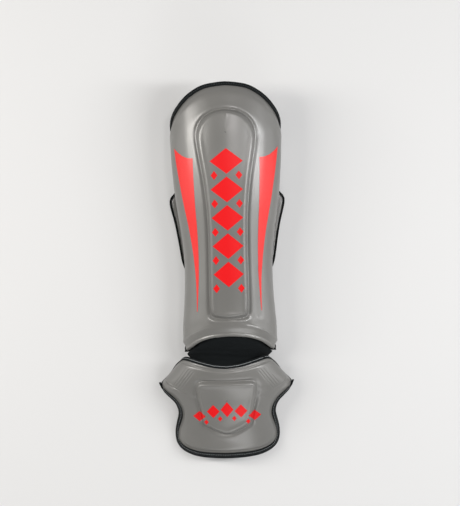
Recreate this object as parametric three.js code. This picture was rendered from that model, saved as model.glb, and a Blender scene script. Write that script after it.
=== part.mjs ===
// A kickboxing shin guard, lying on its open back: a moulded shin shell with a raised ridge, an
// instep shell with side wings, a stretch gusset between them, calf flaps and elastic straps.
// Millimetres, +Z up, +Y towards the knee, +X across. It stands on the plane z = 0.
import * as THREE from 'three';
import { mergeVertices } from 'three/addons/utils/BufferGeometryUtils.js';

// Lengths along the leg
const shinLength = 371;
const gussetLength = 44;
const instepLength = 142;

// Outer form of the leg and of the foot
const kneeHalfWidth = 83.5;
const kneeHeight = 104;
const instepHalfWidth = 98;
const instepHeight = 76;
const instepShift = -7;
const floorAngle = 114;

// Pads
const shinThickness = 18;
const instepThickness = 15;
const edgeThickness = 7;
const shoulderFall = 3;
const shinShoulder = 15;
const instepShoulder = 11;
const flangeWidth = 5.6;
const ridgeRise = 5;
const ridgeEnd = 34;
const fieldRise = 3.5;
const fieldEnd = 28;
const grooveDepth = 1;
const instepFlare = 24;

// Tape, cloth and film
const bindingWall = 1.2;
const bindingLeg = 4.3;
const wingThickness = 4;
const seamWidth = 4;
const wingLeg = 2.4;
const wingReach = 9;
const gussetThickness = 4;
const gussetBulge = 10;
const gussetSeat = 1.1;
const gussetSeam = 3;
const filmThickness = 0.7;
const strapThickness = 1.8;
const strapWidth = 48;
const strapMargin = 10;
const strapInset = 2;
const strapGap = 3;
const strapOverlap = 46;
const strapRamp = 6;
const footStrapWidth = 34;
const footStrapFlat = 70;
const clearance = 0.3;

const footStrapShare = 0.5;

const kneeY = (shinLength + gussetLength + instepLength) / 2;
const ankleY = kneeY - shinLength;
const instepY = ankleY - gussetLength;
const bindingReach = clearance + bindingWall;
const tapeDepth = edgeThickness + bindingReach + clearance;
const wingFloor = strapThickness + clearance;
const footStrapY = instepY - footStrapShare * instepLength;
const radians = THREE.MathUtils.degToRad;

// Sections of the leg: along is a share of shinLength below the knee edge, width a share of
// kneeHalfWidth, crown and side shares of kneeHeight (top of the section, and its widest place)
const legSections = [
  { along: 0.0, width: 0.976, crown: 0.935, side: 0.41 },
  { along: 0.08, width: 0.995, crown: 0.982, side: 0.425 },
  { along: 0.158, width: 1.0, crown: 1.0, side: 0.43 },
  { along: 0.26, width: 0.988, crown: 0.998, side: 0.425 },
  { along: 0.343, width: 0.97, crown: 0.985, side: 0.42 },
  { along: 0.475, width: 0.915, crown: 0.945, side: 0.405 },
  { along: 0.594, width: 0.833, crown: 0.905, side: 0.38 },
  { along: 0.726, width: 0.788, crown: 0.865, side: 0.355 },
  { along: 0.858, width: 0.806, crown: 0.825, side: 0.335 },
  { along: 0.976, width: 0.845, crown: 0.79, side: 0.32 },
  { along: 1.05, width: 0.835, crown: 0.765, side: 0.31 },
  { along: 1.12, width: 0.82, crown: 0.74, side: 0.3 },
];

// Sections of the foot: along is a share of instepLength below the instep's top centre, width a
// share of instepHalfWidth, crown and side shares of instepHeight
const footSections = [
  { along: -0.11, width: 0.66, crown: 1.03, side: 0.4 },
  { along: 0.07, width: 0.85, crown: 0.97, side: 0.28 },
  { along: 0.2, width: 1.0, crown: 0.89, side: 0.1 },
  { along: 0.32, width: 0.99, crown: 0.81, side: -0.04 },
  { along: 0.43, width: 0.94, crown: 0.75, side: -0.15 },
  { along: 0.515, width: 0.895, crown: 0.7, side: -0.215 },
  { along: 0.61, width: 0.88, crown: 0.64, side: -0.275 },
  { along: 0.71, width: 0.875, crown: 0.57, side: -0.27 },
  { along: 0.86, width: 0.87, crown: 0.48, side: -0.298 },
  { along: 1.0, width: 0.865, crown: 0.4, side: -0.4 },
];

// Outlines of one half, from the top centre round to the bottom centre. around is in degrees from
// the crown line, along a share of the pad's own length; each ridge row faces the rim row beside it
const shinOutline = [
  { rimAround: 0, rimAlong: 0.002, ridgeAround: 0, ridgeAlong: 0.11 },
  { rimAround: 22, rimAlong: 0.012, ridgeAround: 8.5, ridgeAlong: 0.114 },
  { rimAround: 42, rimAlong: 0.046, ridgeAround: 17, ridgeAlong: 0.126 },
  { rimAround: 60, rimAlong: 0.092, ridgeAround: 24.5, ridgeAlong: 0.148 },
  { rimAround: 77, rimAlong: 0.135, ridgeAround: 29.5, ridgeAlong: 0.178 },
  { rimAround: 97, rimAlong: 0.19, ridgeAround: 31.5, ridgeAlong: 0.216 },
  { rimAround: 112, rimAlong: 0.26, ridgeAround: 30, ridgeAlong: 0.272 },
  { rimAround: 111, rimAlong: 0.345, ridgeAround: 26.5, ridgeAlong: 0.352 },
  { rimAround: 107, rimAlong: 0.46, ridgeAround: 23.5, ridgeAlong: 0.48 },
  { rimAround: 105.5, rimAlong: 0.61, ridgeAround: 24.5, ridgeAlong: 0.62 },
  { rimAround: 106.5, rimAlong: 0.78, ridgeAround: 26, ridgeAlong: 0.75 },
  { rimAround: 110, rimAlong: 0.91, ridgeAround: 25.5, ridgeAlong: 0.85 },
  { rimAround: 110, rimAlong: 0.99, ridgeAround: 24.5, ridgeAlong: 0.893 },
  { rimAround: 101, rimAlong: 1.049, ridgeAround: 22, ridgeAlong: 0.914 },
  { rimAround: 84, rimAlong: 1.06, ridgeAround: 18, ridgeAlong: 0.921 },
  { rimAround: 62, rimAlong: 1.047, ridgeAround: 13.5, ridgeAlong: 0.9245 },
  { rimAround: 42, rimAlong: 1.022, ridgeAround: 9, ridgeAlong: 0.927 },
  { rimAround: 21, rimAlong: 1.005, ridgeAround: 4.5, ridgeAlong: 0.929 },
  { rimAround: 0, rimAlong: 1.0, ridgeAround: 0, ridgeAlong: 0.93 },
];
const shinBottomRow = 14;

const instepOutline = [
  { rimAround: 0, rimAlong: 0.0, ridgeAround: 0, ridgeAlong: 0.163 },
  { rimAround: 14, rimAlong: -0.012, ridgeAround: 7, ridgeAlong: 0.161 },
  { rimAround: 31, rimAlong: -0.045, ridgeAround: 14, ridgeAlong: 0.158 },
  { rimAround: 50, rimAlong: -0.077, ridgeAround: 20, ridgeAlong: 0.156 },
  { rimAround: 67, rimAlong: -0.09, ridgeAround: 24.5, ridgeAlong: 0.159 },
  { rimAround: 80, rimAlong: -0.068, ridgeAround: 27, ridgeAlong: 0.18 },
  { rimAround: 93, rimAlong: -0.004, ridgeAround: 27.2, ridgeAlong: 0.212 },
  { rimAround: 103.5, rimAlong: 0.09, ridgeAround: 27.2, ridgeAlong: 0.249 },
  { rimAround: 100, rimAlong: 0.177, ridgeAround: 27, ridgeAlong: 0.295 },
  { rimAround: 87, rimAlong: 0.232, ridgeAround: 26.6, ridgeAlong: 0.35 },
  { rimAround: 69, rimAlong: 0.298, ridgeAround: 26.2, ridgeAlong: 0.406 },
  { rimAround: 57, rimAlong: 0.365, ridgeAround: 25.8, ridgeAlong: 0.461 },
  { rimAround: 53, rimAlong: 0.437, ridgeAround: 25.6, ridgeAlong: 0.516 },
  { rimAround: 54.5, rimAlong: 0.518, ridgeAround: 25.2, ridgeAlong: 0.572 },
  { rimAround: 60, rimAlong: 0.608, ridgeAround: 24.6, ridgeAlong: 0.608 },
  { rimAround: 65, rimAlong: 0.7, ridgeAround: 22.6, ridgeAlong: 0.636 },
  { rimAround: 64.5, rimAlong: 0.8, ridgeAround: 18, ridgeAlong: 0.659 },
  { rimAround: 54, rimAlong: 0.884, ridgeAround: 13, ridgeAlong: 0.687 },
  { rimAround: 36, rimAlong: 0.943, ridgeAround: 8, ridgeAlong: 0.71 },
  { rimAround: 17.5, rimAlong: 0.965, ridgeAround: 3.5, ridgeAlong: 0.727 },
  { rimAround: 0, rimAlong: 0.971, ridgeAround: 0, ridgeAlong: 0.731 },
];
const instepTopRow = 5;
const stepsPerRow = 2;
const gussetColumns = instepTopRow * stepsPerRow - 2;
const gussetCornerShare = 0.8;

// Side stripe: inner and outer edges in degrees from the crown line, along as shares of shinLength
const flashRows = [
  { drop: 0.0, innerAround: 36.5, outerAround: 66 },
  { drop: 0.28, innerAround: 37.8, outerAround: 57.5 },
  { drop: 0.6, innerAround: 40.5, outerAround: 51 },
  { drop: 0.85, innerAround: 42.6, outerAround: 46.2 },
  { drop: 1.0, innerAround: 43.4, outerAround: 44.2 },
];
const flashTopShares = [0.297, 0.292, 0.276, 0.253];
const flashTipShare = 0.9;
const flashSteps = 12;
const flashColumns = 4;

// Free edge of a calf flap: along as shares of shinLength, out as a share of wingReach beyond the shell
const wingRows = [
  { along: 0.408, out: -0.75 },
  { along: 0.432, out: 0.35 },
  { along: 0.46, out: 1.0 },
  { along: 0.53, out: 0.8 },
  { along: 0.62, out: 0.62 },
  { along: 0.7, out: 0.35 },
  { along: 0.745, out: -0.3 },
];

// Closing straps: the upper one starts at a share of shinLength, the other follows a gap below it
const strapStart = 0.455;
const strapNames = ['upper', 'lower'];

// Rings of a pad: shares of the way from the crown line to the ridge, from the ridge to the
// shoulder, and on the lining from the shoulder back to the crown line
const ridgeShares = [0.5, 0.86];
const skinShares = [0.14, 0.42, 0.71];
const liningShares = [0.66, 0.33];
const rollShare = 0.4;

// Steps of the sewn sheets, and how far their curves lean on the ways they leave and arrive
const wingSteps = 12;
const wingEdgeRows = [6, 12];
const footStrapRows = [9, 16];
const wingBridgeSteps = 4;
const gussetBridgeSteps = 6;
const footBridgeSteps = 5;
const footStrapSteps = 6;
const bridgeLean = 0.38;
const wingFlatShare = 0.3;

// A form wrapped over the leg: a point at around degrees from the crown line and at height y,
// depth millimetres below the outer skin, its crown line shift millimetres to the right
function wrappedForm(sections, halfWidth, height, topY, length, shift) {
  const spots = sections.map((row) => row.along);
  const values = sections.flatMap((row) => [row.width, row.crown, row.side]);
  const section = new THREE.CubicInterpolant(spots, values, 3, new Float64Array(3));
  const skin = (around, y) => {
    const [width, crown, side] = section.evaluate((topY - y) / length);
    const angle = radians(around);
    const floor = side > 0 ? (side * height) / -Math.cos(radians(floorAngle)) : 0;
    const drop = (crown - side) * height;
    const lift = Math.cos(angle) > 0 ? drop : Math.max(floor, 1);
    return new THREE.Vector3(
      shift + Math.sin(angle) * width * halfWidth, y, side * height + Math.cos(angle) * lift);
  };
  const normal = (around, y) => {
    const across = skin(around + 0.5, y).sub(skin(around - 0.5, y));
    const down = skin(around, y - 0.5).sub(skin(around, y + 0.5));
    return down.cross(across).normalize();
  };
  const at = (around, y, depth) => skin(around, y).addScaledVector(normal(around, y), -depth);
  return { at, skin, normal, topY, length };
}

const leg = wrappedForm(legSections, kneeHalfWidth, kneeHeight, kneeY, shinLength, 0);
const foot = wrappedForm(
  footSections, instepHalfWidth, instepHeight, instepY, instepLength, instepShift);

// A closed loop of places on a form, from the rows of one half and their mirror image
function mirroredLoop(form, rows, aroundKey, alongKey) {
  const half = new THREE.SplineCurve(rows.map((row) => new THREE.Vector2(row[aroundKey], row[alongKey])));
  const steps = (rows.length - 1) * stepsPerRow;
  const places = [];
  for (let i = 0; i < steps * 2; i++) {
    const left = i > steps;
    const spot = half.getPoint((left ? 2 * steps - i : i) / steps);
    places.push({ around: left ? -spot.x : spot.x, y: form.topY - spot.y * form.length });
  }
  places[0].around = 0;
  places[steps].around = 0;
  return places;
}

const between = (from, to, share) => from.map((place, i) => ({
  around: THREE.MathUtils.lerp(place.around, to[i].around, share),
  y: THREE.MathUtils.lerp(place.y, to[i].y, share),
}));

// The crown line under a loop, ending an inset short of the loop's two ends
function centreLine(loop, inset) {
  const top = loop[0].y;
  const bottom = loop[loop.length / 2].y;
  const middle = (top + bottom) / 2;
  const shrink = 1 - (2 * inset) / (top - bottom);
  return loop.map((place) => ({ around: 0, y: middle + (place.y - middle) * shrink }));
}

// Frames along a rim: the place, the way in along the skin and the way out of the skin, with the
// edge turned up by flare degrees
function rimFrames(form, rim, flare) {
  return rim.map((place, i) => {
    const point = form.at(place.around, place.y, shoulderFall);
    const before = rim[(i + rim.length - 1) % rim.length];
    const after = rim[(i + 1) % rim.length];
    const along = form.skin(after.around, after.y).sub(form.skin(before.around, before.y)).normalize();
    const out = form.normal(place.around, place.y);
    const inward = along.clone().cross(out).normalize();
    const flatOut = out.clone().applyAxisAngle(along, radians(-flare));
    const flatIn = inward.clone().applyAxisAngle(along, radians(-flare));
    return { place, point, along, inward, out, flatIn, flatOut };
  });
}

const edgePoint = (frame, inset, depth) => frame.point.clone()
  .addScaledVector(frame.flatIn, inset).addScaledVector(frame.flatOut, -depth);

// The rim moved inward along the skin by a width in millimetres
function insetLoop(form, frames, width) {
  return frames.map((frame) => {
    const { around, y } = frame.place;
    const perDegree = form.skin(around + 0.5, y).sub(form.skin(around - 0.5, y));
    const perHeight = form.skin(around, y + 0.5).sub(form.skin(around, y - 0.5));
    const a = perDegree.lengthSq();
    const b = perDegree.dot(perHeight);
    const c = perHeight.lengthSq();
    const p = frame.inward.dot(perDegree);
    const q = frame.inward.dot(perHeight);
    const scale = width / (a * c - b * b);
    return { around: around + (p * c - q * b) * scale, y: y + (q * a - p * b) * scale };
  });
}

const ring = (form, loop, depth) => loop.map((place) => form.at(place.around, place.y, depth));

// One closed body from rows of points: corners that coincide are merged, folded faces dropped
function bodyFrom(points, faces) {
  const geometry = new THREE.BufferGeometry();
  geometry.setAttribute('position', new THREE.Float32BufferAttribute(points.flatMap((p) => p.toArray()), 3));
  geometry.setIndex(faces.flat());
  const merged = mergeVertices(geometry, 1e-3);
  const index = Array.from(merged.index.array);
  const kept = [];
  for (let i = 0; i < index.length; i += 3) {
    const [a, b, c] = index.slice(i, i + 3);
    if (a !== b && b !== c && c !== a) kept.push(a, b, c);
  }
  merged.setIndex(kept);
  merged.computeVertexNormals();
  return merged;
}

const quad = (a, b, c, d) => [a, b, c, a, c, d];

// Closed rings, one inside the other, skinned from the first to the last
function ringBody(rings) {
  const count = rings[0].length;
  const faces = [];
  for (let r = 0; r < rings.length - 1; r++) {
    for (let i = 0; i < count; i++) {
      const next = (i + 1) % count;
      faces.push(quad(r * count + i, r * count + next, (r + 1) * count + next, (r + 1) * count + i));
    }
  }
  return bodyFrom(rings.flat(), faces);
}

// Sections of one closed profile carried along a route, with end caps unless the route is a loop
function sweptBody(sections, closed) {
  const count = sections[0].length;
  const spans = closed ? sections.length : sections.length - 1;
  const faces = [];
  for (let s = 0; s < spans; s++) {
    const after = (s + 1) % sections.length;
    for (let i = 0; i < count; i++) {
      const next = (i + 1) % count;
      faces.push(quad(s * count + i, s * count + next, after * count + next, after * count + i));
    }
  }
  if (!closed) {
    const last = (sections.length - 1) * count;
    for (let i = 0; i < count / 2 - 1; i++) {
      const far = count - 1 - i;
      faces.push(quad(far, far - 1, i + 1, i));
      faces.push(quad(last + i, last + i + 1, last + far - 1, last + far));
    }
  }
  return bodyFrom(sections.flat(), faces);
}

// A sheet: each section is its top points, then its bottom points on the way back
const sheetBody = (tops, bottoms) => sweptBody(
  tops.map((top, i) => [...top, ...bottoms[i].slice().reverse()]), false);

const mirrored = (point) => new THREE.Vector3(-point.x, point.y, point.z);
const acrossInstep = (point) => mirrored(point).setX(2 * instepShift - point.x);

// A folded tape round an edge: up the outer face, round the rim and back along the inner face
function tapeSection(frame, leg, thickness) {
  const outer = -bindingReach;
  const profile = [
    [leg, -clearance], [-clearance, -clearance],
    [-clearance, thickness + clearance], [leg, thickness + clearance],
    [leg, thickness - outer], [outer, thickness - outer], [outer, outer], [leg, outer],
  ];
  return profile.map(([inset, depth]) => edgePoint(frame, inset, depth));
}

function padBody(form, frames, ridgeLoop, rise, slopeInset, shoulderWidth, thickness) {
  const shoulder = insetLoop(form, frames, shoulderWidth);
  const roll = insetLoop(form, frames, (shoulderWidth + flangeWidth) / 2);
  const heart = centreLine(ridgeLoop, slopeInset);
  return ringBody([
    ring(form, heart, -rise),
    ...ridgeShares.map((share) => ring(form, between(heart, ridgeLoop, share), -rise)),
    ring(form, ridgeLoop, grooveDepth),
    ...skinShares.map((share) => ring(form, between(ridgeLoop, shoulder, share), 0)),
    ring(form, shoulder, 0),
    ring(form, roll, shoulderFall * rollShare),
    frames.map((frame) => edgePoint(frame, flangeWidth, 0)),
    frames.map((frame) => edgePoint(frame, 0, 0)),
    frames.map((frame) => edgePoint(frame, 0, edgeThickness)),
    frames.map((frame) => edgePoint(frame, flangeWidth, edgeThickness)),
    ring(form, shoulder, thickness),
    ...liningShares.map((share) => ring(form, between(heart, shoulder, share), thickness)),
    ring(form, heart, thickness),
  ]);
}

const shinRim = mirroredLoop(leg, shinOutline, 'rimAround', 'rimAlong');
const shinFrames = rimFrames(leg, shinRim, 0);
const shinRidge = mirroredLoop(leg, shinOutline, 'ridgeAround', 'ridgeAlong');
const instepRim = mirroredLoop(foot, instepOutline, 'rimAround', 'rimAlong');
const instepFrames = rimFrames(foot, instepRim, instepFlare);
const instepField = mirroredLoop(foot, instepOutline, 'ridgeAround', 'ridgeAlong');

const leather = new THREE.MeshStandardMaterial({ color: 0x96968f, roughness: 0.38, metalness: 0.0 });
const tape = new THREE.MeshStandardMaterial({ color: 0x23292b, roughness: 0.7, metalness: 0.0 });
const stretch = new THREE.MeshStandardMaterial({ color: 0x12181a, roughness: 0.85, metalness: 0.0 });
const film = new THREE.MeshStandardMaterial({ color: 0xe6201c, roughness: 0.35, metalness: 0.0 });

const guard = new THREE.Group();

function addPiece(name, geometry, material) {
  const mesh = new THREE.Mesh(geometry, material.clone());
  mesh.name = name;
  guard.add(mesh);
}

// Shin shell and its tape, which stops at the ankle corners
addPiece(
  'shin_pad', padBody(leg, shinFrames, shinRidge, ridgeRise, ridgeEnd, shinShoulder, shinThickness),
  leather);

function shinTape() {
  const reach = shinBottomRow * stepsPerRow;
  const route = [...shinFrames.slice(-reach), ...shinFrames.slice(0, reach + 1)];
  return sweptBody(route.map((frame) => tapeSection(frame, bindingLeg, edgeThickness)), false);
}
addPiece('shin_binding', shinTape(), tape);

// Instep shell and its tape, all round
addPiece(
  'instep_pad',
  padBody(foot, instepFrames, instepField, fieldRise, fieldEnd, instepShoulder, instepThickness),
  leather);
addPiece(
  'instep_binding',
  sweptBody(instepFrames.map((frame) => tapeSection(frame, bindingLeg, edgeThickness)), true), tape);

// A place beside a rim, at a spot between two of its frames
function alongEdge(frames, spot, inset, depth) {
  const count = frames.length;
  const first = Math.floor(spot);
  const from = edgePoint(frames[(first + count) % count], inset, depth);
  return from.lerp(edgePoint(frames[(first + 1 + count) % count], inset, depth), spot - first);
}

// The spot where the right-hand edge of a pad passes a height y, searched from one row to another
function edgeSpot(frames, y, [fromRow, toRow]) {
  for (let i = fromRow * stepsPerRow; i < toRow * stepsPerRow; i++) {
    const upper = frames[i].point.y;
    const lower = frames[i + 1].point.y;
    if (upper >= y && y > lower) return i + (upper - y) / (upper - lower);
  }
  return toRow * stepsPerRow;
}

// Points from a seam to another place: out of the seam along its cloth, then in along a given way
function bridge(root, edge, to, arrival, count) {
  const reach = edge.distanceTo(to) * bridgeLean;
  const leave = edge.clone().sub(root).setLength(reach).add(edge);
  const arrive = to.clone().addScaledVector(arrival, -reach);
  return [root, ...new THREE.CubicBezierCurve3(edge, leave, arrive, to).getPoints(count)];
}

// Red stripes: a film that follows the shell
function flashBody(side) {
  const drops = flashRows.map((row) => row.drop);
  const edges = new THREE.CubicInterpolant(
    drops, flashRows.flatMap((row) => [row.innerAround, row.outerAround]), 2, new Float64Array(2));
  const top = new THREE.SplineCurve(flashTopShares.map((along, i) => new THREE.Vector2(i, along)));
  const face = (depth) => {
    const rows = [];
    for (let r = 0; r <= flashSteps; r++) {
      const drop = r / flashSteps;
      const row = [];
      for (let c = 0; c <= flashColumns; c++) {
        const across = c / flashColumns;
        const along = THREE.MathUtils.lerp(top.getPoint(across).y, flashTipShare, drop);
        const [inner, outer] = edges.evaluate(drop);
        const around = THREE.MathUtils.lerp(inner, outer, across);
        row.push(leg.at(around * side, kneeY - along * shinLength, depth));
      }
      rows.push(side > 0 ? row.reverse() : row);
    }
    return rows;
  };
  return sheetBody(face(-clearance - filmThickness), face(-clearance));
}

// Calf flaps: from under the tape of the shin pad's long edge down and out to the floor
function wingSections(depth, lift) {
  const free = new THREE.SplineCurve(wingRows.map((row) => new THREE.Vector2(row.out, row.along)));
  return free.getPoints(wingSteps).map((place) => {
    const y = kneeY - place.y * shinLength;
    const spot = edgeSpot(shinFrames, y, wingEdgeRows);
    const root = alongEdge(shinFrames, spot, seamWidth, tapeDepth + clearance + depth);
    const rim = alongEdge(shinFrames, spot, 0, tapeDepth + clearance + depth);
    const edge = new THREE.Vector3(leg.skin(90, y).x + place.x * wingReach, y, wingFloor + lift);
    const flat = edge.clone();
    flat.x = THREE.MathUtils.lerp(rim.x, edge.x, wingFlatShare);
    return [...bridge(root, rim, flat, new THREE.Vector3(1, 0, 0), wingBridgeSteps), edge];
  });
}

function wingBody(side) {
  const place = (section) => (side < 0 ? section.map(mirrored) : section.slice().reverse());
  const tops = wingSections(0, wingThickness).map(place);
  const bottoms = wingSections(wingThickness, 0).map(place);
  return sheetBody(tops, bottoms);
}

function wingTape(side) {
  const edge = wingSections(0, wingThickness).map((section) => section.at(-1));
  const sections = [];
  for (let i = 0; i < edge.length; i++) {
    const point = edge[i];
    const along = edge[Math.min(i + 1, edge.length - 1)].clone().sub(edge[Math.max(i - 1, 0)]).normalize();
    const flatOut = new THREE.Vector3(0, 0, 1);
    const flatIn = along.clone().cross(flatOut).normalize();
    const section = tapeSection({ point, flatIn, flatOut }, wingLeg, wingThickness);
    sections.push(side > 0 ? section : section.map(mirrored).reverse());
  }
  return sweptBody(sections, false);
}

// A swell that starts at 0, peaks at 1 a quarter of the way and fades out before the end
const swellAt = (gone) => (256 / 27) * gone * (1 - gone) ** 3;

// Ankle gusset: sewn inside the shin pad's arched edge and inside the tape of the instep's top edge,
// its free sides bulging out
function gussetSections(depth) {
  const sections = [];
  const shinCentre = (shinOutline.length - 1) * stepsPerRow;
  for (let c = -gussetColumns; c <= gussetColumns; c++) {
    const share = c / gussetColumns;
    const shinSpot = shinCentre - share * (shinCentre - shinBottomRow * stepsPerRow - gussetCornerShare);
    const shinRoot = alongEdge(shinFrames, shinSpot, gussetSeam, edgeThickness + clearance + depth);
    const shinEdge = alongEdge(shinFrames, shinSpot, 0, edgeThickness + 2 * clearance + depth);
    const seat = tapeDepth + clearance + depth;
    const instepEdge = alongEdge(instepFrames, c, 0, seat + gussetSeat);
    const instepRoot = alongEdge(instepFrames, c, gussetSeam, seat);
    const arrival = instepRoot.clone().sub(instepEdge).normalize();
    const across = bridge(shinRoot, shinEdge, instepEdge, arrival, gussetBridgeSteps);
    across.forEach((point, i) => {
      const gone = Math.max(i - 1, 0) / gussetBridgeSteps;
      point.x += gussetBulge * share * Math.abs(share) * swellAt(gone);
    });
    sections.push([...across, instepRoot]);
  }
  return sections;
}

// A flat strap across the back: points of its top and underside at each end of its width
function flatStrap(topLine, middleY) {
  const at = (line, drop) => [-1, 1].map((end) => line.map(
    ([x, z]) => new THREE.Vector3(x, middleY + (end * strapWidth) / 2, z - drop)));
  return sheetBody(at(topLine, 0), at(topLine, strapThickness));
}

const elasticLine = (reach) => [
  [-reach, strapThickness], [-strapOverlap / 2 - strapRamp - clearance, strapThickness],
  [-strapOverlap / 2 - clearance, 2 * strapThickness + clearance],
  [strapOverlap / 2, 2 * strapThickness + clearance],
];
const loopLine = (reach) => [[-strapOverlap / 2, strapThickness], [reach, strapThickness]];

// How far a strap at height y reaches: to the tape of the narrowest flap edge over its width
function strapReach(middleY) {
  const edges = wingSections(0, wingThickness).map((section) => section.at(-1));
  const beside = edges.filter((edge) => Math.abs(edge.y - middleY) < strapWidth / 2 + strapMargin);
  return Math.min(...beside.map((edge) => edge.x)) - wingLeg - strapInset;
}

// Foot strap: from inside one edge of the instep pad down to the floor and up to the other edge
function footStrapSections(depth, lift) {
  const sections = [];
  for (let i = 0; i <= footStrapSteps; i++) {
    const y = footStrapY + footStrapWidth * (0.5 - i / footStrapSteps);
    const spot = edgeSpot(instepFrames, y, footStrapRows);
    const root = alongEdge(instepFrames, spot, seamWidth, tapeDepth + clearance + depth);
    const rim = alongEdge(instepFrames, spot, 0, tapeDepth + clearance + depth);
    const floor = new THREE.Vector3(instepShift + footStrapFlat / 2, rim.y, lift);
    const half = bridge(root, rim, floor, new THREE.Vector3(-1, 0, 0), footBridgeSteps);
    half.forEach((point) => point.setZ(Math.max(point.z, lift)));
    sections.push([...half, ...half.map(acrossInstep).reverse()]);
  }
  return sections;
}

addPiece('side_flash_left', flashBody(-1), film);
addPiece('side_flash_right', flashBody(1), film);
addPiece('calf_wing_left', wingBody(-1), leather);
addPiece('calf_wing_right', wingBody(1), leather);
addPiece('wing_binding_left', wingTape(-1), tape);
addPiece('wing_binding_right', wingTape(1), tape);
addPiece('ankle_gusset', sheetBody(gussetSections(0), gussetSections(gussetThickness)), stretch);
strapNames.forEach((name, i) => {
  const y = kneeY - strapStart * shinLength - (i + 0.5) * strapWidth - i * strapGap;
  addPiece(`${name}_elastic_strap`, flatStrap(elasticLine(strapReach(y)), y), stretch);
  addPiece(`${name}_loop_strap`, flatStrap(loopLine(strapReach(y)), y), stretch);
});
const footStrapTop = footStrapSections(strapThickness, strapThickness);
addPiece('foot_strap', sheetBody(footStrapTop, footStrapSections(0, 0)), stretch);

// The guard stands on z = 0 with its footprint centred on the origin
const space = new THREE.Box3().setFromObject(guard);
const middle = space.getCenter(new THREE.Vector3());
guard.position.set(-middle.x, -middle.y, -space.min.z);

export default guard;
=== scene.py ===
# A kickboxing shin guard that lies on its open back, seen from straight above with the knee end at
# the top. Metres, +X across, +Y towards the knee, +Z up, and the floor is z = 0.
import math
import bmesh
import bpy
import numpy as np
from mathutils import Matrix, Vector
from mathutils.bvhtree import BVHTree
from mathutils.kdtree import KDTree


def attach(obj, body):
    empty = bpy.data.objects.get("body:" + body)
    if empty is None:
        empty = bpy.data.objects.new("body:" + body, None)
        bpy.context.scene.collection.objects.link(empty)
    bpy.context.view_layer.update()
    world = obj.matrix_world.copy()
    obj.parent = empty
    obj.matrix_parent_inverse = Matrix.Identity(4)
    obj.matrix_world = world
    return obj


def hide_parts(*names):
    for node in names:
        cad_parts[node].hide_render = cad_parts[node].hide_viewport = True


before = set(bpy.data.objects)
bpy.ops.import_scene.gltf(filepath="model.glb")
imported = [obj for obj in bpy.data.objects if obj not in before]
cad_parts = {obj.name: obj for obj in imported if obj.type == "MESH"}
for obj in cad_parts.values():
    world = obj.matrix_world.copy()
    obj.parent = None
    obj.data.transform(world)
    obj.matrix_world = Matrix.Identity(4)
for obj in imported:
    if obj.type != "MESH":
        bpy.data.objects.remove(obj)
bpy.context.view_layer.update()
mm = 0.001

# Camera: straight above the guard and far away, so that the pads keep their real outline. The
# picture is 460 by 506 and each of its points covers 1.485 mm at the widest part of the guard.
view_height = 506 * 1.485 * mm
outline_level = 45 * mm
camera_rise = 2.2
sensor = 36
camera_data = bpy.data.cameras.new("camera")
camera_data.sensor_fit = "VERTICAL"
camera_data.sensor_height = sensor
camera_data.lens = sensor * camera_rise / view_height
camera = bpy.data.objects.new("camera", camera_data)
camera.location = (9.6 * mm, 28 * mm, outline_level + camera_rise)
camera.rotation_euler = (0, 0, math.radians(-1.3))
bpy.context.scene.collection.objects.link(camera)
bpy.context.scene.camera = camera

# Shin shell: foam moulded to the leg with one raised ridge, covered in semi-gloss grey synthetic
# leather and lined in black cloth. The leather is stretched over the form and rolled in at its rim.


def cage_of(node):
    """A copy of a node's mesh, its corners merged and its triangles paired back to quads."""
    cage = bmesh.new()
    cage.from_mesh(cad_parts[node].data)
    bmesh.ops.remove_doubles(cage, verts=cage.verts, dist=0.02 * mm)
    bmesh.ops.join_triangles(
        cage, faces=cage.faces, angle_face_threshold=math.pi, angle_shape_threshold=math.pi,
        topology_influence=2)
    return cage


def piece_of(cage, name):
    mesh = bpy.data.meshes.new(name)
    cage.to_mesh(mesh)
    cage.free()
    piece = bpy.data.objects.new(name, mesh)
    bpy.context.scene.collection.objects.link(piece)
    return piece


def points_of(mesh):
    points = np.empty(len(mesh.vertices) * 3)
    mesh.vertices.foreach_get("co", points)
    return points.reshape(-1, 3)


def set_points(mesh, points):
    mesh.vertices.foreach_set("co", points.ravel())
    mesh.update()


def finished_mesh(piece):
    graph = bpy.context.evaluated_depsgraph_get()
    return bpy.data.meshes.new_from_object(piece.evaluated_get(graph))


def settle(piece):
    """Applies the piece's modifiers."""
    mesh = finished_mesh(piece)
    piece.modifiers.clear()
    piece.data = mesh
    mesh.shade_smooth()


def sharpness(mesh):
    """The largest angle between faces at each corner of a mesh."""
    cage = bmesh.new()
    cage.from_mesh(mesh)
    angles = [max((e.calc_face_angle(math.pi) for e in v.link_edges), default=0) for v in cage.verts]
    cage.free()
    return np.array(angles)


def smooth_through(piece, levels, held=math.radians(50), free=math.radians(75), rounds=3):
    """Subdivides a piece so that its smooth surface passes through the corners of its cage.
    Corners sharper than held pass less and less close to it, and those sharper than free round off."""
    mesh = piece.data
    goal = points_of(mesh)
    share = np.clip((free - sharpness(mesh)) / (free - held), 0, 1)[:, None]
    smooth = piece.modifiers.new("smooth", "SUBSURF")
    smooth.levels = smooth.render_levels = 1
    for _ in range(rounds):
        limit = finished_mesh(piece)
        reached = points_of(limit)[: len(goal)]
        bpy.data.meshes.remove(limit)
        set_points(mesh, points_of(mesh) + (goal - reached) * share)
    smooth.levels = smooth.render_levels = levels
    settle(piece)


def outside(mesh, centre, axis_height, lean=0.2):
    """Which corners lie on the faces that look away from the leg, and all corner normals."""
    normals = np.empty(len(mesh.vertices) * 3)
    mesh.vertex_normals.foreach_get("vector", normals)
    normals = normals.reshape(-1, 3)
    away = points_of(mesh) - (centre, 0, axis_height)
    away[:, 1] = 0
    away /= np.linalg.norm(away, axis=1)[:, None]
    return (normals * away).sum(axis=1) > lean, normals


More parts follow.
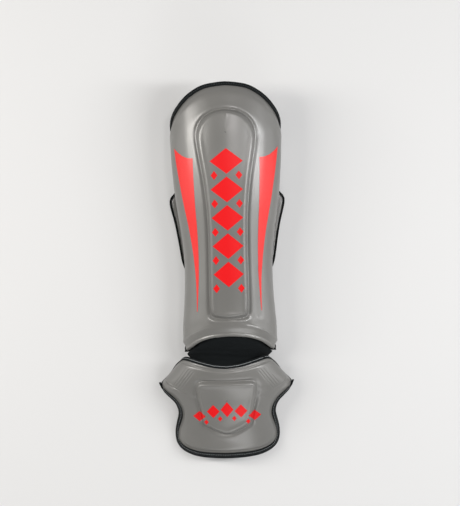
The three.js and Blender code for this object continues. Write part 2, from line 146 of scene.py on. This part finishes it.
def mirrored(half, centre):
    """A closed outline, its corners cut round, from its right half in mm from the top down."""
    right = [((centre + x) * mm, y * mm) for x, y in half]
    left = [((centre - x) * mm, y * mm) for x, y in half[-2:0:-1]]
    outline = np.array(right + left)
    for _ in range(2):
        onward = np.roll(outline, -1, axis=0)
        cuts = [outline * 0.75 + onward * 0.25, outline * 0.25 + onward * 0.75]
        outline = np.stack(cuts, axis=1).reshape(-1, 2)
    return outline


def depth_inside(points, outline):
    """How far each point lies inside an outline seen from above, negative outside it."""
    steps = np.arange(0, 1, 0.05)[:, None, None]
    onward = np.roll(outline, -1, axis=0)
    line = (outline[None] * (1 - steps) + onward[None] * steps).reshape(-1, 2)
    tree = KDTree(len(line))
    for index, (x, y) in enumerate(line):
        tree.insert((x, y, 0), index)
    tree.balance()
    inside = np.zeros(len(points), bool)
    for (ax, ay), (bx, by) in zip(outline, onward):
        between = (ay > points[:, 1]) != (by > points[:, 1])
        inside ^= between & (points[:, 0] < ax + (points[:, 1] - ay) / ((by - ay) or 1) * (bx - ax))
    reach = np.array([tree.find((x, y, 0))[2] for x, y, _ in points])
    return np.where(inside, reach, -reach)


def edge_tree(cage, sharp=math.radians(60), steps=8, keep=lambda at: True):
    """Points along the sharp edges of a cage, to find the nearest of them."""
    spots = []
    for edge in cage.edges:
        if edge.calc_face_angle(0) > sharp:
            start, end = (corner.co for corner in edge.verts)
            spots += [start.lerp(end, step / steps) for step in range(steps + 1)]
    spots = [spot for spot in spots if keep(spot)]
    tree = KDTree(len(spots))
    for index, spot in enumerate(spots):
        tree.insert(spot, index)
    tree.balance()
    return tree


def hump(value, middle, width):
    return np.exp(-(((value - middle) / width) ** 2))


def rising(value, start, span):
    """0 up to start, and 1 from a span further on."""
    return np.clip((value - start) / span, 0, 1)


def rolls(depth, profile):
    """Rolls and grooves along an outline: height, place inside it and half width of each, in mm."""
    return sum(height * hump(depth, middle, width) for height, middle, width in profile)


def calm(piece, weights, rounds):
    """Smooths away the unevenness of a piece where its weights are high."""
    group = piece.vertex_groups.new(name="calm")
    for index in np.flatnonzero(weights > 0.02):
        group.add([int(index)], float(weights[index]), "REPLACE")
    smoother = piece.modifiers.new("calm", "SMOOTH")
    smoother.factor = 0.5
    smoother.iterations = rounds
    smoother.vertex_group = "calm"
    settle(piece)
    piece.vertex_groups.clear()


def material(name, color, roughness, gloss=0.5):
    finish = bpy.data.materials.new(name)
    finish.use_nodes = True
    nodes = finish.node_tree.nodes
    surface = nodes["Principled BSDF"]
    surface.inputs["Base Color"].default_value = (*color, 1)
    surface.inputs["Roughness"].default_value = roughness
    surface.inputs["Specular IOR Level"].default_value = gloss
    return finish, nodes, finish.node_tree.links, surface


def noise(nodes, links, place, scale, detail=2.0):
    texture = nodes.new("ShaderNodeTexNoise")
    texture.inputs["Scale"].default_value = scale
    texture.inputs["Detail"].default_value = detail
    links.new(place.outputs["Object"], texture.inputs["Vector"])
    return texture.outputs["Fac"]


def ramp(nodes, links, value, stops):
    blend = nodes.new("ShaderNodeValToRGB")
    blend.color_ramp.elements[0].position = stops[0][0]
    blend.color_ramp.elements[0].color = (*stops[0][1], 1)
    blend.color_ramp.elements[1].position = stops[1][0]
    blend.color_ramp.elements[1].color = (*stops[1][1], 1)
    links.new(value, blend.inputs["Fac"])
    return blend.outputs["Color"]


def bump(nodes, links, height, distance, strength=1.0, under=None):
    relief = nodes.new("ShaderNodeBump")
    relief.inputs["Distance"].default_value = distance
    relief.inputs["Strength"].default_value = strength
    links.new(height, relief.inputs["Height"])
    if under is not None:
        links.new(under, relief.inputs["Normal"])
    return relief.outputs["Normal"]


def leather(name, color, roughness):
    """Semi-gloss coated leather: a fine grain, faint waves, and gloss that varies a little."""
    finish, nodes, links, surface = material(name, color, roughness, 0.7)
    place = nodes.new("ShaderNodeTexCoord")
    dark = tuple(c * 0.95 for c in color)
    light = tuple(c * 1.05 for c in color)
    links.new(ramp(nodes, links, noise(nodes, links, place, 14, 1), [(0.3, dark), (0.7, light)]),
              surface.inputs["Base Color"])
    gloss = nodes.new("ShaderNodeMapRange")
    gloss.inputs["To Min"].default_value = roughness - 0.02
    gloss.inputs["To Max"].default_value = roughness + 0.04
    links.new(noise(nodes, links, place, 30, 2), gloss.inputs["Value"])
    links.new(gloss.outputs["Result"], surface.inputs["Roughness"])
    fine = bump(nodes, links, noise(nodes, links, place, 700, 1), 0.05 * mm, 0.12)
    broad = bump(nodes, links, noise(nodes, links, place, 22, 1), 0.5 * mm, 0.12, fine)
    links.new(broad, surface.inputs["Normal"])
    return finish


def cloth(name, color, thread):
    """Woven cloth or tape: fine diagonal threads, matt."""
    finish, nodes, links, surface = material(name, color, 0.78, 0.12)
    surface.inputs["Sheen Weight"].default_value = 0.02
    surface.inputs["Sheen Roughness"].default_value = 0.5
    place = nodes.new("ShaderNodeTexCoord")
    weave = nodes.new("ShaderNodeTexWave")
    weave.bands_direction = "DIAGONAL"
    weave.inputs["Scale"].default_value = 0.314 / thread
    weave.inputs["Distortion"].default_value = 0.4
    links.new(place.outputs["Object"], weave.inputs["Vector"])
    dark = tuple(c * 0.7 for c in color)
    light = tuple(c * 1.5 for c in color)
    links.new(ramp(nodes, links, weave.outputs["Fac"], [(0.2, dark), (0.8, light)]),
              surface.inputs["Base Color"])
    threads = bump(nodes, links, weave.outputs["Fac"], thread * 0.4, 0.7)
    links.new(bump(nodes, links, noise(nodes, links, place, 400), 0.1 * mm, 0.5, threads),
              surface.inputs["Normal"])
    return finish


def line_inside(piece, axis_height, lean=-0.25):
    """Gives the faces that look towards the leg the piece's second material."""
    mesh = piece.data
    for face in mesh.polygons:
        away = Vector((face.center.x, 0, face.center.z - axis_height)).normalized()
        face.material_index = int(face.normal.dot(away) < lean)


grey = (0.134, 0.132, 0.125)
grey_leather = leather("grey_leather", grey, 0.3)
lining_cloth = cloth("lining_cloth", (0.010, 0.011, 0.012), 0.7 * mm)

# in mm: the ridge's edge, the right half from the top down, the short pressed channel beside it, the
# rolls along the ridge's edge, and the bead along the bare edge over the ankle
shin_centre = 7
ridge_half = [
    (0, 236), (12, 234.5), (24, 230), (34, 222), (40.5, 211), (43, 197), (42, 187), (38.5, 163),
    (35.5, 146), (32.5, 124), (30, 99), (28.5, 73), (28, 47), (28, 22), (28.5, -20), (28.5, -55),
    (27.5, -62), (23, -66.5), (12, -68), (0, -68)]
channel_centre = 52.5
channel_half = [(0, 8), (3, 7), (4.5, 3), (4.5, -64), (3, -68), (0, -69)]
channel_depth = 0.5
ridge_rolls = [(0.8, 5.5, 2.6), (-0.9, -0.4, 1.6), (0.6, -5.5, 3.2)]
edge_bead = [(1.1, 2.6, 1.4)]
shin_axis = 30 * mm

shell_cage = cage_of("shin_pad")
bare_edge = edge_tree(shell_cage, keep=lambda at: at.y < -86 * mm and at.z < 84 * mm)
shin_shell = piece_of(shell_cage, "shin_shell")
smooth_through(shin_shell, 3)
points = points_of(shin_shell.data)
outer, normals = outside(shin_shell.data, shin_centre * mm, shin_axis)

# the band over the ankle and the upper part of the ridge's flat top are evened out
on_crown = np.abs(points[:, 0] - shin_centre * mm) < 66 * mm
low_band = hump(points[:, 1], -84 * mm, 9 * mm) * outer * on_crown
ridge = mirrored(ridge_half, shin_centre)
plateau = rising(depth_inside(points, ridge) / mm, 6, 5) * outer
plateau *= rising(points[:, 1] / mm, 140, 40)
calm(shin_shell, np.maximum(low_band, plateau), 90)

# the rolls are pressed in along the ridge, weaker over the knee, with the channel and the bead
points = points_of(shin_shell.data)
from_edge = np.array([bare_edge.find(p)[2] for p in points])
depth = depth_inside(points, ridge) / mm
relief = rolls(depth, ridge_rolls)
relief *= 1 - 0.8 * rising(points[:, 1] / mm, 185, 35)
channel = depth_inside(points, mirrored(channel_half, channel_centre)) / mm
relief -= channel_depth * rising(channel, -1, 2)
relief += rolls(from_edge / mm, edge_bead)
set_points(shin_shell.data, points + normals * (relief * mm * outer)[:, None])
shin_shell.data.materials.append(grey_leather)
shin_shell.data.materials.append(lining_cloth)
line_inside(shin_shell, shin_axis)
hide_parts("shin_pad")
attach(shin_shell, "root")

# Instep shell: a smaller pad of the same foam and leather over the foot, with a wing at each ankle
# and a raised five-sided field. Five fine ribs are pressed into the leather where each wing begins.


def maths(nodes, links, operation, *values):
    step = nodes.new("ShaderNodeMath")
    step.operation = operation
    for socket, value in zip(step.inputs, values):
        if isinstance(value, (int, float)):
            socket.default_value = value
        else:
            links.new(value, socket)
    return step.outputs["Value"]


def fade(nodes, links, value, start, end):
    """1 while the size of a value is under start, falling smoothly to 0 at end."""
    edge = nodes.new("ShaderNodeMapRange")
    edge.interpolation_type = "SMOOTHSTEP"
    edge.inputs["From Min"].default_value = end
    edge.inputs["From Max"].default_value = start
    links.new(maths(nodes, links, "ABSOLUTE", value), edge.inputs["Value"])
    return edge.outputs["Result"]


ribbed_leather = leather("ribbed_leather", grey, 0.32)
nodes, links = ribbed_leather.node_tree.nodes, ribbed_leather.node_tree.links

# the ribs' middle on the right wing, and the direction across them
rib_spacing = 3.8 * mm
rib_depth = 0.16 * mm
rib_x, rib_y = 62.5 * mm, -156 * mm
lean_x, lean_y = 0.79, 0.61
place = nodes.new("ShaderNodeTexCoord")
split = nodes.new("ShaderNodeSeparateXYZ")
links.new(place.outputs["Object"], split.inputs["Vector"])
out = maths(nodes, links, "SUBTRACT", maths(nodes, links, "ABSOLUTE", split.outputs["X"]), rib_x)
up = maths(nodes, links, "ADD", split.outputs["Y"], -rib_y)
across = maths(nodes, links, "ADD", maths(nodes, links, "MULTIPLY", out, lean_x),
               maths(nodes, links, "MULTIPLY", up, lean_y))
along = maths(nodes, links, "SUBTRACT", maths(nodes, links, "MULTIPLY", out, lean_y),
              maths(nodes, links, "MULTIPLY", up, lean_x))
wave = maths(nodes, links, "COSINE", maths(nodes, links, "MULTIPLY", across, math.tau / rib_spacing))
window = maths(nodes, links, "MULTIPLY", fade(nodes, links, across, 7 * mm, 9 * mm),
               fade(nodes, links, along, 14 * mm, 19 * mm))
surface = nodes["Principled BSDF"]
pressed = bump(nodes, links, maths(nodes, links, "MULTIPLY", wave, window), rib_depth, 1.0,
               surface.inputs["Normal"].links[0].from_socket)
links.new(pressed, surface.inputs["Normal"])

# in mm: the field's edge, the right half from the top down, and the rolls along it
field_half = [
    (0, -161), (32, -160.5), (41, -161.5), (45, -167), (45, -173), (43.5, -184), (40, -199),
    (37, -215), (36, -222), (34, -227), (26, -231.5), (12, -238.5), (0, -242)]
field_rolls = [(0.9, 5.5, 3), (-0.6, -0.4, 2), (0.3, -5.5, 3)]
instep_axis = -20 * mm

instep_shell = piece_of(cage_of("instep_pad"), "instep_shell")
smooth_through(instep_shell, 3)
points = points_of(instep_shell.data)
outer, normals = outside(instep_shell.data, 0, instep_axis)
top_band = hump(points[:, 1], -152 * mm, 6 * mm) * outer * (np.abs(points[:, 0]) < 60 * mm)
calm(instep_shell, top_band, 60)
points = points_of(instep_shell.data)
depth = depth_inside(points, mirrored(field_half, 0)) / mm
relief = rolls(depth, field_rolls)
set_points(instep_shell.data, points + normals * (relief * mm * outer)[:, None])
instep_shell.data.materials.append(ribbed_leather)
instep_shell.data.materials.append(lining_cloth)
line_inside(instep_shell, instep_axis)
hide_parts("instep_pad")
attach(instep_shell, "root")

# Edge tapes: woven black tape folded over the rim of each pad and of each calf flap, and sewn
# through with one row of thread. Over the ankle a close grey row on the instep's tape is a painted
# highlight on its rounded edge, and the instep's tape ends in a short folded tab at each wing tip.
black_tape = cloth("black_tape", (0.0045, 0.006, 0.0065), 0.9 * mm)


def rounded(cage, radius, steps, sharp=math.radians(50)):
    """Rounds the long corners of a tape or strap."""
    corners = [edge for edge in cage.edges if edge.calc_face_angle(0) > sharp]
    bmesh.ops.bevel(
        cage, geom=corners, offset=radius, segments=steps, profile=0.5, affect="EDGES",
        clamp_overlap=True, material=-1)


def widened(cage, edge_node, share):
    """Moves a tape's corners away from the edge that it wraps, or towards it, by a share of the way
    on each axis. Nothing is lowered."""
    edge = cage_of(edge_node)
    tree = edge_tree(edge)
    for corner in cage.verts:
        near = tree.find(corner.co)[0]
        moved = near + (corner.co - near) * share(corner.co)
        corner.co = (moved.x, moved.y, max(moved.z, corner.co.z))
    edge.free()


def tape_on(node, name, radius, wraps=None, share=None):
    cage = cage_of(node)
    if wraps:
        widened(cage, wraps, share)
    rounded(cage, radius, 2)
    tape = piece_of(cage, name)
    smooth_through(tape, 2)
    tape.data.materials.append(black_tape)
    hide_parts(node)
    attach(tape, "root")
    return tape


def toe_growth(at):
    """The instep's tape is wider along its lower sides and round the toe than over the ankle."""
    start, span, growth = -150 * mm, 18 * mm, 0.6
    return Vector((1, 1, 1)) * (1 + growth * min(max((start - at.y) / span, 0), 1))


def flap_slimming(at):
    return Vector((0.6, 0.6, 1))


def walk(corner, edge):
    """Follows a line of edges straight on, over corners where four of them meet."""
    line = [corner]
    while True:
        corner = edge.other_vert(corner)
        if corner == line[0]:
            return line, True
        line.append(corner)
        onward = [e for e in corner.link_edges if not set(e.link_faces) & set(edge.link_faces)]
        if len(onward) != 1:
            return line, False
        edge = onward[0]


def sewing_line(node, centre, profile_corners=8, narrowest=2 * mm, axis_height=-40 * mm):
    """The middle of a tape's outer face, one point for each section of its folded profile."""
    cage = cage_of(node)
    cage.verts.ensure_lookup_table()
    start = next(v for v in cage.verts if len(v.link_edges) == 4)
    runs = [walk(start, edge) for edge in start.link_edges]
    run, looped = max(runs, key=lambda found: len(found[0]))
    if not looped:
        last = next(e for e in run[-1].link_edges if e.other_vert(run[-1]) == run[-2])
        run, looped = walk(run[-1], last)
    points = []
    for corner, onward in zip(run, run[1:]):
        ring = []
        for edge in corner.link_edges:
            if edge.other_vert(corner) not in run:
                ring, _ = walk(corner, edge)
                break
        if len(ring) != profile_corners:
            continue
        middle = sum((v.co for v in ring), Vector()) / profile_corners
        away = Vector((middle.x - centre, 0, middle.z - axis_height)).normalized()
        sides = [(a.co + b.co) / 2 for a, b in zip(ring, ring[1:] + ring[:1])
                 if (a.co - b.co).length > narrowest]
        points.append(max(sides, key=lambda side: (side - middle).dot(away)))
    cage.free()
    return points + points[:1] if looped else points


thread_radius = 0.4 * mm
thread_lift = 0.08 * mm
foot_middle = Vector((0, -190 * mm, 0))


def stitches_on(tape, node, name, yarn, centre=0.0, spacing=3.6 * mm, half=1.25 * mm, inward=0.0,
                keep=lambda at: True):
    """A row of short thread stitches pressed into a tape, along the middle of its outer face. With
    inward it lies that much nearer the foot's middle, and is dropped on the tape from above."""
    line = np.array(sewing_line(node, centre))
    steps = np.linalg.norm(np.diff(line, axis=0), axis=1)
    reach = np.concatenate([[0], np.cumsum(steps)])
    tree = BVHTree.FromObject(tape, bpy.context.evaluated_depsgraph_get())
    row = bmesh.new()
    for at in np.arange(spacing, reach[-1] - spacing, spacing):
        here, ahead = (
            Vector([float(np.interp(at + step, reach, line[:, axis])) for axis in range(3)])
            for step in (0, 0.3 * mm))
        if not keep(here):
            continue
        turn = (ahead - here).to_track_quat("X", "Z").to_matrix().to_4x4()
        point, normal, _, _ = tree.find_nearest(here)
        if inward:
            spot = here + (foot_middle - here).xy.to_3d().normalized() * inward
            above = tree.ray_cast(spot + Vector((0, 0, 20 * mm)), Vector((0, 0, -1)))
            point, normal = above[:2] if above[0] else (point, normal)
        shape = Matrix.Diagonal((half, thread_radius, thread_radius, 1))
        bmesh.ops.create_icosphere(
            row, subdivisions=2, radius=1,
            matrix=Matrix.Translation(point + normal * thread_lift) @ turn @ shape)
    piece = piece_of(row, name)
    piece.data.shade_smooth()
    piece.data.materials.append(yarn)
    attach(piece, "root")


# this grey is the thread of the stitches round the toe, and also the painted highlight along the top
# of the instep's tape
grey_thread_and_highlight = cloth("grey_thread_and_highlight", (0.2, 0.21, 0.215), 0.4 * mm)
black_thread = cloth("black_thread", (0.03, 0.033, 0.035), 0.4 * mm)
shin_tape = tape_on("shin_binding", "shin_tape", 0.5 * mm)
stitches_on(shin_tape, "shin_binding", "shin_stitches", black_thread, shin_centre * mm)
instep_tape = tape_on("instep_binding", "instep_tape", 0.5 * mm, "instep_pad", toe_growth)
stitches_on(instep_tape, "instep_binding", "instep_stitches", grey_thread_and_highlight, inward=1.7 * mm,
            keep=lambda at: at.y < -160 * mm)
# the close grey row along the top of the instep's tape is a painted highlight on the tape's rounded
# edge
stitches_on(instep_tape, "instep_binding", "instep_painted_highlight", grey_thread_and_highlight, spacing=1.5 * mm,
            half=1.6 * mm, keep=lambda at: at.y > -150 * mm and abs(at.x) < 66 * mm)
for side in ("left", "right"):
    tape_on(f"wing_binding_{side}", f"flap_tape_{side}", 0.3 * mm, f"calf_wing_{side}",
            flap_slimming)
tab_shape = Matrix.Diagonal((2.6 * mm, 9 * mm, 5 * mm, 1))
tab_lean = math.radians(24)
tabs = bmesh.new()
for side in (-1, 1):
    tip = max((v.co for v in instep_tape.data.vertices), key=lambda at: at.x * side)
    middle = Matrix.Translation(tip + Vector((-0.6 * side, 2.2, 1.0)) * mm)
    turned = Matrix.Rotation(-tab_lean * side, 4, "Z")
    bmesh.ops.create_cube(tabs, size=1, matrix=middle @ turned @ tab_shape)
rounded(tabs, 0.7 * mm, 2)
tape_tabs = piece_of(tabs, "tape_tabs")
tape_tabs.data.shade_smooth()
tape_tabs.data.materials.append(black_tape)
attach(tape_tabs, "root")

# Side stripes: one on each shoulder of the shell, tapered towards the ankle, with a concave top edge.
# They are glossy red film, cut to shape and welded flat on the leather.
film_red, _, _, _ = material("film_red", (0.68, 0.012, 0.010), 0.32, 0.4)
film_height = 0.25 * mm
film_gap = 0.02 * mm
shell_tree = BVHTree.FromObject(shin_shell, bpy.context.evaluated_depsgraph_get())


def crisp(cage, sharp=math.radians(50)):
    """Shades a piece smooth but for its sharp edges."""
    for edge in cage.edges:
        edge.smooth = edge.calc_face_angle(0) < sharp


def press_on(piece, tree, thickness):
    """Lays a thin closed piece on a shell: its outer face stands thickness proud of it."""
    sheet = bmesh.new()
    sheet.from_mesh(piece.data)
    spots = []
    for corner in sheet.verts:
        point, normal, _, _ = tree.find_nearest(corner.co)
        proud = any(face.normal.dot(normal) > 0.5 for face in corner.link_faces)
        spots.append(point + normal * (thickness if proud else film_gap))
    sheet.free()
    for vertex, spot in zip(piece.data.vertices, spots):
        vertex.co = spot


for side in ("left", "right"):
    cage = cage_of(f"side_flash_{side}")
    crisp(cage)
    stripe = piece_of(cage, f"stripe_{side}")
    fine = stripe.modifiers.new("fine", "SUBSURF")
    fine.subdivision_type = "SIMPLE"
    fine.levels = fine.render_levels = 2
    settle(stripe)
    press_on(stripe, shell_tree, film_height)
    stripe.data.materials.append(film_red)
    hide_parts(f"side_flash_{side}")
    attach(stripe, "root")

# Printed ornament: plain lozenges in deep red, a column of them down the ridge and a small arc over
# the instep. They are screen printed on the leather, so they are very thin and follow it.
print_red, _, _, _ = material("print_red", (0.62, 0.003, 0.005), 0.42, 0.25)
print_lift = 0.12 * mm
print_thickness = 0.1 * mm
instep_tree = BVHTree.FromObject(instep_shell, bpy.context.evaluated_depsgraph_get())


def printed(name, tree, spots, start_height=0.2):
    """Lozenges (x, y, width, length) dropped from above onto a shell as one thin piece."""
    prints = bmesh.new()
    for x, y, width, length in spots:
        turned = Matrix.Rotation(math.radians(45), 4, "Z")
        shape = Matrix.Diagonal((width / math.sqrt(2), length / math.sqrt(2), 1, 1))
        bmesh.ops.create_grid(
            prints, x_segments=10, y_segments=10, size=0.5,
            matrix=Matrix.Translation((x, y, 0)) @ shape @ turned)
    for vertex in prints.verts:
        above = Vector((vertex.co.x, vertex.co.y, start_height))
        point, normal, _, _ = tree.ray_cast(above, (0, 0, -1))
        vertex.co = point + normal * print_lift
    bmesh.ops.solidify(prints, geom=prints.faces[:], thickness=print_thickness)
    crisp(prints)
    piece = piece_of(prints, name)
    piece.data.shade_smooth()
    piece.data.materials.append(print_red)
    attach(piece, "root")


ridge_spots = []
for step, y in enumerate((161, 120, 79, 38, -3)):
    ridge_spots.append((shin_centre * mm, y * mm, (48 - step) * mm, 37 * mm))
    for side in (-1, 1):
        ridge_spots.append(((shin_centre + side * 18) * mm, (y - 20.5) * mm, 10 * mm, 13 * mm))
printed("ridge_print", shell_tree, ridge_spots)
instep_spots = []
arc_bend = 0.006
for x, length in ((-41, 16), (-20.5, 20), (0, 23), (20.5, 20), (41, 16)):
    instep_spots.append((x * mm, (-203 - arc_bend * x * x) * mm, 19 * mm, length * mm))
for x in (-31, -10.5, 10.5, 31):
    instep_spots.append((x * mm, (-216 - arc_bend * x * x) * mm, 7 * mm, 8 * mm))
printed("instep_print", instep_tree, instep_spots)

# Calf flaps: thin foam in the same leather and lining as the shell. They are sewn inside its long
# edges and fold in behind the calf, with the straps on their undersides.
flap_axis = -60 * mm
for side in ("left", "right"):
    flap = piece_of(cage_of(f"calf_wing_{side}"), f"calf_flap_{side}")
    smooth_through(flap, 3)
    flap.data.materials.append(grey_leather)
    flap.data.materials.append(lining_cloth)
    line_inside(flap, flap_axis)
    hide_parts(f"calf_wing_{side}")
    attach(flap, "root")

# Ankle gusset: one piece of black stretch cloth that joins the two pads, so that the ankle can bend.
# It is sewn inside both of them, held stretched between them, and lies in fine folds across.
gusset_cloth = cloth("gusset_cloth", (0.0022, 0.0034, 0.004), 0.5 * mm)
fold_height = 0.45 * mm
fold_pitch = 1.3 * mm
gusset_middle = -118 * mm
gusset = piece_of(cage_of("ankle_gusset"), "gusset")
smooth_through(gusset, 3)
points = points_of(gusset.data)
away = points - (3 * mm, 0, -20 * mm)
away[:, 1] = 0
away /= np.linalg.norm(away, axis=1)[:, None]
folds = np.sin(points[:, 1] / fold_pitch + 1.5 * np.sin(points[:, 0] / (17 * mm)))
folds *= fold_height * hump(points[:, 1], gusset_middle, 13 * mm)
set_points(gusset.data, points + away * folds[:, None])
gusset.data.materials.append(gusset_cloth)
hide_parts("ankle_gusset")
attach(gusset, "root")

# Straps: black woven elastic, sewn flat under the flaps and the instep. Two straps with hook ends
# close over loop-faced straps behind the calf, and one goes under the foot.
webbing = cloth("webbing", (0.014, 0.015, 0.016), 1.4 * mm)
for node in ("upper_elastic_strap", "upper_loop_strap", "lower_elastic_strap", "lower_loop_strap",
             "foot_strap"):
    cage = cage_of(node)
    rounded(cage, 0.4 * mm, 3)
    crisp(cage, math.radians(40))
    strap = piece_of(cage, node + "_webbing")
    strap.data.materials.append(webbing)
    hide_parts(node)
    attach(strap, "root")

# Studio: a pale floor that glows a little, as a lit table does, and a room that is bright at the
# horizon and dim overhead. Two tall soft boxes stand on each side, one above the other, two wide ones
# beyond the toe, and a small one hangs over the knee.
floor_mesh = bmesh.new()
bmesh.ops.create_grid(floor_mesh, x_segments=1, y_segments=1, size=6)
floor = piece_of(floor_mesh, "floor")
floor_paper, _, _, surface = material("floor_paper", (0.45, 0.45, 0.45), 0.9)
surface.inputs["Specular IOR Level"].default_value = 0
surface.inputs["Emission Color"].default_value = (1, 1, 1, 1)
surface.inputs["Emission Strength"].default_value = 0.2
floor.data.materials.append(floor_paper)


def soft_box(name, place, aim, width, length, power, color=(1, 1, 1)):
    light = bpy.data.lights.new(name, "AREA")
    light.shape = "RECTANGLE"
    light.size = width
    light.size_y = length
    light.energy = power
    light.color = color
    lamp = bpy.data.objects.new(name, light)
    lamp.location = place
    lamp.rotation_euler = (Vector(aim) - Vector(place)).to_track_quat("-Z", "Y").to_euler()
    bpy.context.scene.collection.objects.link(lamp)


soft_box("left_box", (-1.28, 0.3, 1.2), (0, 0.1, 0.05), 0.34, 1.2, 23, (1, 0.97, 0.92))
soft_box("left_low_box", (-1.6, 0.1, 0.5), (0, 0, 0.05), 0.8, 1.6, 5, (1, 0.98, 0.94))
soft_box("right_box", (1.25, 0.1, 1.35), (0, 0.05, 0.05), 0.18, 1.2, 21)
soft_box("right_low_box", (1.6, 0.0, 0.6), (0, 0, 0.05), 0.8, 1.6, 7)
soft_box("front_box", (0.5, -1.4, 1.15), (0, -0.2, 0.05), 1.0, 0.16, 5)
soft_box("toe_box", (0, -1.6, 0.6), (0, -0.1, 0.05), 1.2, 0.6, 3)
soft_box("top_box", (0.38, 0.44, 2.1), (0, 0.15, 0.05), 0.06, 0.3, 6, (1, 0.96, 0.96))
room = bpy.data.worlds.new("room")
room.use_nodes = True
nodes, links = room.node_tree.nodes, room.node_tree.links
direction = nodes.new("ShaderNodeTexCoord")
split = nodes.new("ShaderNodeSeparateXYZ")
links.new(direction.outputs["Generated"], split.inputs["Vector"])
horizon, zenith = (0.0, (0.68, 0.68, 0.68)), (0.75, (0.1, 0.1, 0.1))
links.new(ramp(nodes, links, split.outputs["Z"], [horizon, zenith]),
          nodes["Background"].inputs["Color"])
bpy.context.scene.world = room
bpy.context.scene.view_settings.view_transform = "Standard"
